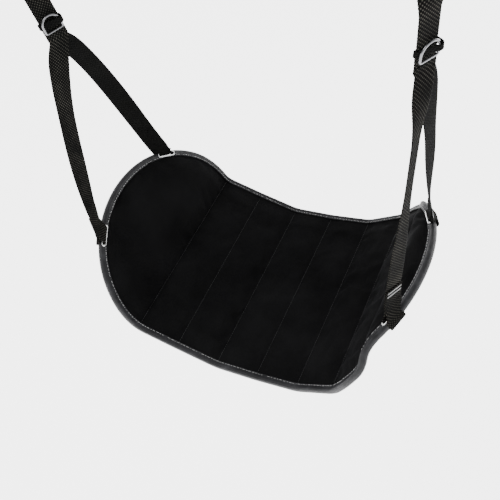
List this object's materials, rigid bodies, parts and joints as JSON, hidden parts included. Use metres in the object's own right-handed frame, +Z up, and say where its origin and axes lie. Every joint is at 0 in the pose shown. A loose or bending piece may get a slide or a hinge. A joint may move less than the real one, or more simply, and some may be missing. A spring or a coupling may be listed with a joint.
{
  "type": "swing seat",
  "caption": "Quilted sling swing seat with rounded ends and a bound edge, hung from webbing bridles through slotted metal eyelets, with D-rings and hanger rings.",
  "frame": {"origin": "midway between the bars of the two hanger rings, on the axis that the swing turns about", "axes": "+Z up, +Y to the back of the seat, +X to the viewer's right from the front, along the swing axis"},
  "size_m": [0.4874, 0.3, 0.5912],
  "materials": {
    "face_fabric": "matt black suede-like face, quilted in channels",
    "back_fabric": "black woven backing",
    "foam": "thin foam filling inside the cover",
    "binding": "dark grey folded binding tape with a low sheen",
    "webbing": "black woven webbing with a coarse basket weave",
    "thread": "dark bonded thread",
    "chrome_wire": "plated steel wire",
    "eyelet_metal": "plated pressed eyelet"
  },
  "bodies": {
    "hangers": {"left_hanger_ring": "chrome_wire", "right_hanger_ring": "chrome_wire"},
    "straps": {"left_main_strap": "webbing", "right_main_strap": "webbing", "left_eye_stitching": "thread", "right_eye_stitching": "thread", "left_ring_keeper": "webbing", "right_ring_keeper": "webbing"},
    "left_ring": {"left_d_ring": "chrome_wire"},
    "right_ring": {"right_d_ring": "chrome_wire"},
    "seat": {"top_cover": "face_fabric", "bottom_cover": "back_fabric", "edge_binding": "binding", "foam_pad_1": "foam", "foam_pad_2": "foam", "foam_pad_3": "foam", "foam_pad_4": "foam", "foam_pad_5": "foam", "foam_pad_6": "foam", "foam_pad_7": "foam", "foam_pad_8": "foam", "seam_thread_1": "thread", "seam_thread_2": "thread", "seam_thread_3": "thread", "seam_thread_4": "thread", "seam_thread_5": "thread", "seam_thread_6": "thread", "seam_thread_7": "thread", "front_left_leg": "webbing", "back_left_leg": "webbing", "front_right_leg": "webbing", "back_right_leg": "webbing", "front_left_bartack": "thread", "back_left_bartack": "thread", "front_right_bartack": "thread", "back_right_bartack": "thread", "front_left_eyelet": "eyelet_metal", "back_left_eyelet": "eyelet_metal", "front_right_eyelet": "eyelet_metal", "back_right_eyelet": "eyelet_metal"}
  },
  "joints": [
    {"name": "swing", "type": "hinge", "parent": "hangers", "child": "straps", "pos_m": [0, 0, 0], "axis": [1, 0, 0], "range_deg": [-55, 55]},
    {"name": "seat_pitch", "type": "hinge", "parent": "straps", "child": "seat", "pos_m": [0, 0, -0.124], "axis": [1, 0, 0], "range_deg": [-20, 20]},
    {"name": "left_ring_flip", "type": "hinge", "parent": "straps", "child": "left_ring", "pos_m": [-0.21051, -0.0017, -0.11583], "axis": [0.4984, 0.8665, 0.0282], "range_deg": [0, 6]},
    {"name": "right_ring_flip", "type": "hinge", "parent": "straps", "child": "right_ring", "pos_m": [0.20983, -0.00169, -0.11633], "axis": [0.4945, 0.8674, -0.0558], "range_deg": [0, 6]}
  ]
}
